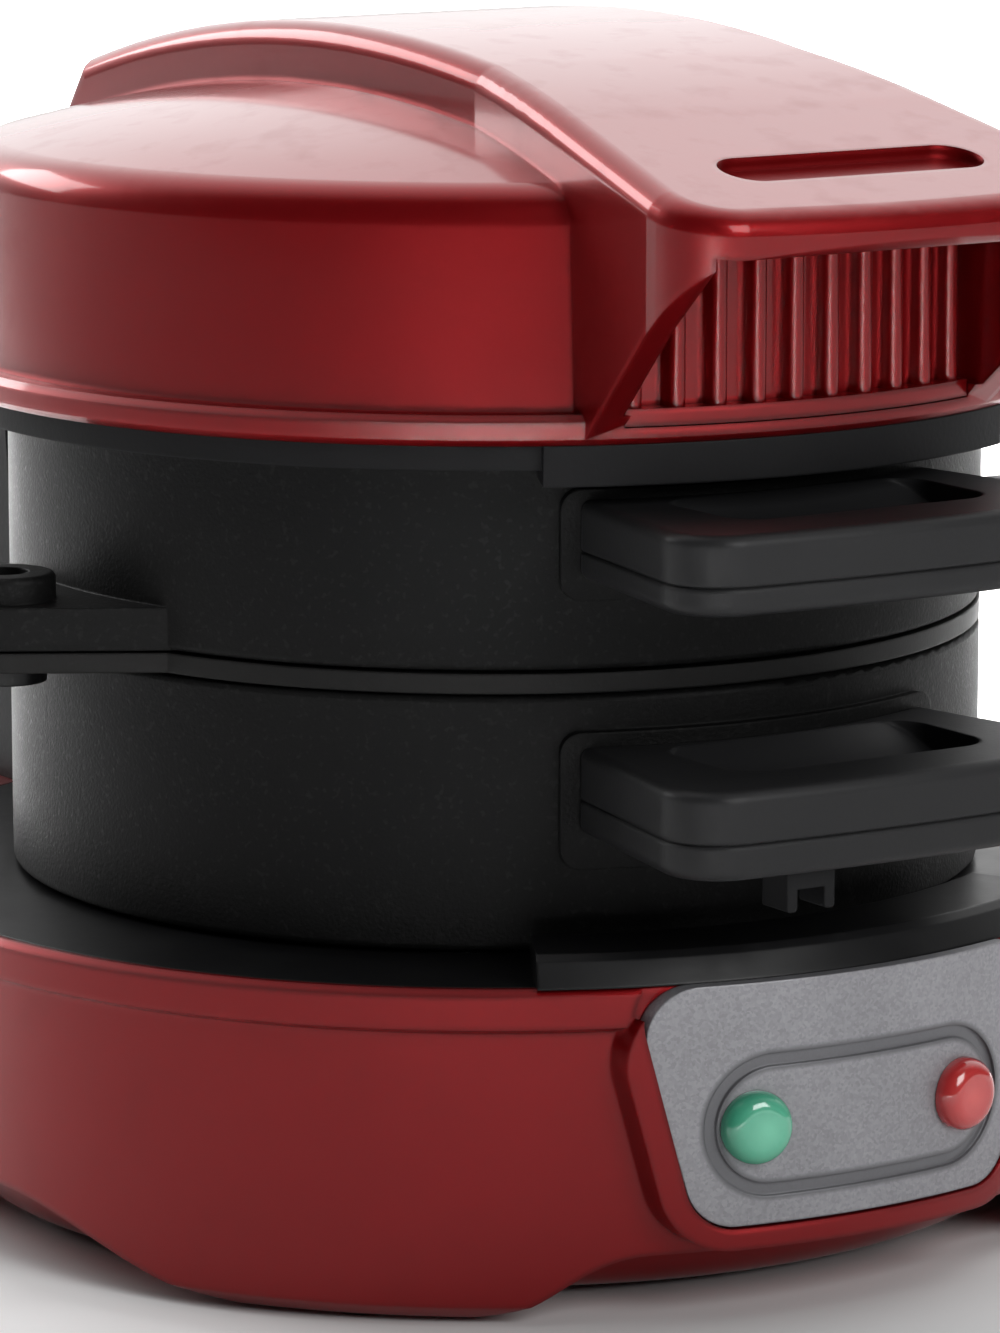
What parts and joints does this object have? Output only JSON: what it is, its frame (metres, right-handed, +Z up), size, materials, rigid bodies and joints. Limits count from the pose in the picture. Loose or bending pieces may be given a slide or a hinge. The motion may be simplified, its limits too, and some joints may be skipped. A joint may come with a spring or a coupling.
{
  "type": "breakfast sandwich maker",
  "caption": "Round countertop sandwich maker with a heated base, a stack of hinged rings with front handles, a swinging cooking plate and a ridged, hinged cover.",
  "frame": {"origin": "point on the table under the common axis of the rings", "axes": "+Z up along the axis of the rings, -Y towards the handles and the indicator panel, +X towards the free end of the cooking plate"},
  "size_m": [0.1795, 0.1805, 0.1461],
  "materials": {
    "red_shell": "dark metallic red, glossy lacquer",
    "black_plastic": "black satin moulded plastic",
    "handle_plastic": "charcoal satin moulded plastic",
    "pad_rubber": "soft black rubber",
    "silver_fascia": "fine silver grey paint, satin",
    "green_lens": "clear green lens",
    "red_lens": "clear red lens",
    "lamp_glass": "small neon lamps",
    "inner_plastic": "natural nylon",
    "cast_plate": "non-stick coated casting",
    "coated_metal": "black non-stick coating on metal",
    "element_tube": "sheathed heating element",
    "sheet_steel": "plain sheet steel",
    "steel": "zinc plated steel"
  },
  "bodies": {
    "base": {"base_bottom_cover": "black_plastic", "base_deck": "black_plastic", "base_screws": "steel", "base_shell": "red_shell", "cord_grommet": "pad_rubber", "foot_pads": "pad_rubber", "hinge_bracket": "black_plastic", "hinge_clip": "steel", "hinge_pin": "steel", "indicator_lamps": "lamp_glass", "lamp_holder": "inner_plastic", "lower_heat_shield": "sheet_steel", "lower_heating_element": "element_tube", "lower_heating_plate": "cast_plate", "panel_fascia": "silver_fascia", "power_lens": "red_lens", "preheat_lens": "green_lens", "terminal_block": "inner_plastic", "thermal_fuse": "sheet_steel", "thermostat": "sheet_steel"},
    "bottom_ring_body": {"bottom_ring": "coated_metal", "bottom_handle_upper": "handle_plastic", "bottom_handle_lower": "handle_plastic", "bottom_handle_screws": "steel", "handle_clip": "handle_plastic"},
    "top_ring_body": {"top_ring": "coated_metal", "top_handle_upper": "handle_plastic", "top_handle_lower": "handle_plastic", "top_handle_screws": "steel", "plate_pivot_pin": "coated_metal"},
    "plate_body": {"cooking_plate": "coated_metal", "plate_handle_upper": "handle_plastic", "plate_handle_lower": "handle_plastic", "plate_handle_screw": "steel"},
    "cover_body": {"cover_shell": "red_shell", "cover_grille": "red_shell", "cover_liner": "black_plastic", "upper_heating_plate": "cast_plate", "upper_heating_element": "element_tube", "upper_heat_shield": "sheet_steel", "cover_screws": "steel", "cover_yoke": "black_plastic", "yoke_screws": "steel"}
  },
  "joints": [
    {"name": "bottom_ring_hinge", "type": "hinge", "parent": "base", "child": "bottom_ring_body", "pos_m": [0, 0.08, 0.096], "axis": [-1, 0, 0], "range_deg": [0, 35]},
    {"name": "top_ring_hinge", "type": "hinge", "parent": "bottom_ring_body", "child": "top_ring_body", "pos_m": [0, 0.08, 0.096], "axis": [-1, 0, 0], "range_deg": [0, 50]},
    {"name": "cover_hinge", "type": "hinge", "parent": "top_ring_body", "child": "cover_body", "pos_m": [0, 0.08, 0.096], "axis": [-1, 0, 0], "range_deg": [0, 95]},
    {"name": "cooking_plate_pivot", "type": "hinge", "parent": "top_ring_body", "child": "plate_body", "pos_m": [-0.071, -0.002, 0.073], "axis": [0, 0, -1], "range_deg": [0, 105]}
  ]
}
